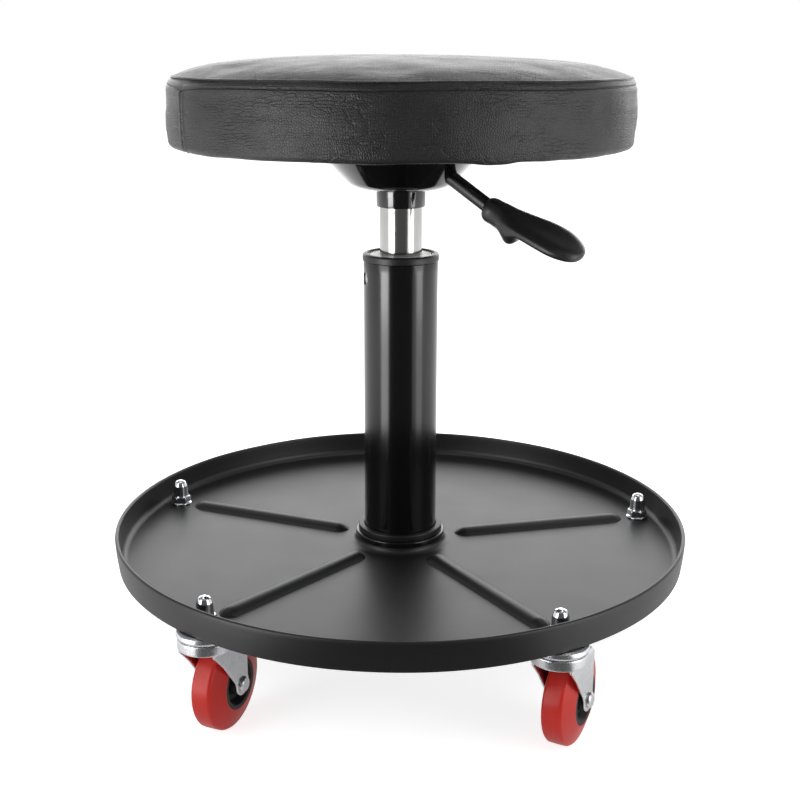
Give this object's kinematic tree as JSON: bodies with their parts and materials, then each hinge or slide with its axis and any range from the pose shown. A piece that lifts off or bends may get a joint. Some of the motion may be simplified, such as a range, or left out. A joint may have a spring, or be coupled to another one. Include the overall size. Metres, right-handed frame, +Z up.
{
  "type": "rolling work seat",
  "caption": "Round padded work seat on a gas lift column with a round tool tray and swivel casters, height set by a side lever.",
  "frame": {"origin": "on the column axis, at the floor under the wheels", "axes": "+Z up along the column; -Y towards the viewer in the picture and +X to its right; the lever stands at 30.5 degrees from +X towards -Y"},
  "size_m": [0.3953, 0.3975, 0.4101],
  "materials": {
    "black_vinyl": "grained, semi-matt",
    "foam": "open cell",
    "plywood": "sawn",
    "black_cloth": "matt",
    "zinc_steel": "bright zinc",
    "black_steel": "gloss",
    "black_tray_paint": "semi-gloss",
    "black_handle": "satin",
    "chrome_tube": "mirror",
    "bearing_brass": "turned",
    "guide_plastic": "satin",
    "piston_metal": "turned",
    "bumper_rubber": "matt",
    "wheel_core_black": "satin",
    "red_tread": "satin"
  },
  "bodies": {
    "base": {"tray": "black_tray_paint", "column_tube": "black_steel", "column_cap": "black_steel", "guide_bushing": "guide_plastic", "column_ring": "black_steel", "column_socket": "black_steel", "thrust_washer_lower": "zinc_steel", "thrust_balls": "zinc_steel", "ball_cage": "bearing_brass", "dome_nuts": "chrome_tube", "caster_stems": "zinc_steel", "caster_top_plates": "zinc_steel", "swivel_balls": "zinc_steel"},
    "rod": {"piston_rod": "chrome_tube", "piston": "piston_metal", "rubber_bumper": "bumper_rubber", "thrust_washer_upper": "zinc_steel", "retaining_clip": "zinc_steel"},
    "seat": {"gas_cylinder": "chrome_tube", "rod_guide": "guide_plastic", "valve_block": "bearing_brass", "taper_sleeve": "black_steel", "mechanism_plate": "black_steel", "lever_pivot_pin": "zinc_steel", "seat_cover": "black_vinyl", "seat_foam": "foam", "seat_board": "plywood", "dust_cloth": "black_cloth", "hem_staples": "zinc_steel", "insert_nuts": "zinc_steel", "seat_screws": "zinc_steel", "screw_washers": "zinc_steel"},
    "lever": {"lever_rod": "black_steel", "lever_grip": "black_handle"},
    "valve_pin": {"release_pin": "zinc_steel"},
    "fork_1": {"caster_fork_1": "zinc_steel", "wheel_axle_1": "zinc_steel"},
    "wheel_1": {"wheel_core_1": "wheel_core_black", "wheel_tyre_1": "red_tread"},
    "fork_2": {"caster_fork_2": "zinc_steel", "wheel_axle_2": "zinc_steel"},
    "wheel_2": {"wheel_core_2": "wheel_core_black", "wheel_tyre_2": "red_tread"},
    "fork_3": {"caster_fork_3": "zinc_steel", "wheel_axle_3": "zinc_steel"},
    "wheel_3": {"wheel_core_3": "wheel_core_black", "wheel_tyre_3": "red_tread"},
    "fork_4": {"caster_fork_4": "zinc_steel", "wheel_axle_4": "zinc_steel"},
    "wheel_4": {"wheel_core_4": "wheel_core_black", "wheel_tyre_4": "red_tread"},
    "fork_5": {"caster_fork_5": "zinc_steel", "wheel_axle_5": "zinc_steel"},
    "wheel_5": {"wheel_core_5": "wheel_core_black", "wheel_tyre_5": "red_tread"}
  },
  "joints": [
    {"name": "seat_swivel", "type": "hinge", "parent": "base", "child": "rod", "pos_m": [0, 0, 0.05], "axis": [0, 0, 1], "continuous": true},
    {"name": "seat_height", "type": "slide", "parent": "rod", "child": "seat", "axis": [0, 0, 1], "range_m": [0, 0.12]},
    {"name": "lever_lift", "type": "hinge", "parent": "seat", "child": "lever", "pos_m": [0.02841, -0.01674, 0.3382], "axis": [-0.5075, -0.8616, 0], "range_deg": [0, 6]},
    {"name": "valve_press", "type": "slide", "parent": "seat", "child": "valve_pin", "axis": [0, 0, -1], "range_m": [0, 0.0036]},
    {"name": "caster_swivel_1", "type": "hinge", "parent": "base", "child": "fork_1", "pos_m": [0, 0.18154, 0.065], "axis": [0, 0, 1], "continuous": true},
    {"name": "wheel_spin_1", "type": "hinge", "parent": "fork_1", "child": "wheel_1", "pos_m": [-0.00749, 0.163, 0.0305], "axis": [0.9272, -0.3746, 0], "continuous": true},
    {"name": "caster_swivel_2", "type": "hinge", "parent": "base", "child": "fork_2", "pos_m": [-0.17265, 0.0561, 0.065], "axis": [0, 0, 1], "continuous": true},
    {"name": "wheel_spin_2", "type": "hinge", "parent": "fork_2", "child": "wheel_2", "pos_m": [-0.15438, 0.06423, 0.0305], "axis": [-0.4067, 0.9135, 0], "continuous": true},
    {"name": "caster_swivel_3", "type": "hinge", "parent": "base", "child": "fork_3", "pos_m": [-0.10671, -0.14687, 0.065], "axis": [0, 0, 1], "continuous": true},
    {"name": "wheel_spin_3", "type": "hinge", "parent": "fork_3", "child": "wheel_3", "pos_m": [-0.10043, -0.12788, 0.0305], "axis": [-0.9494, 0.314, 0], "continuous": true},
    {"name": "caster_swivel_4", "type": "hinge", "parent": "base", "child": "fork_4", "pos_m": [0.10671, -0.14687, 0.065], "axis": [0, 0, 1], "continuous": true},
    {"name": "wheel_spin_4", "type": "hinge", "parent": "fork_4", "child": "wheel_4", "pos_m": [0.1149, -0.12863, 0.0305], "axis": [-0.9121, 0.4099, 0], "continuous": true},
    {"name": "caster_swivel_5", "type": "hinge", "parent": "base", "child": "fork_5", "pos_m": [0.17265, 0.0561, 0.065], "axis": [0, 0, 1], "continuous": true},
    {"name": "wheel_spin_5", "type": "hinge", "parent": "fork_5", "child": "wheel_5", "pos_m": [0.15411, 0.06359, 0.0305], "axis": [-0.3746, -0.9272, 0], "continuous": true}
  ],
  "couplings": [
    {"joint": "valve_press", "follows": "lever_lift", "m_per_rad": 0.034377}
  ]
}
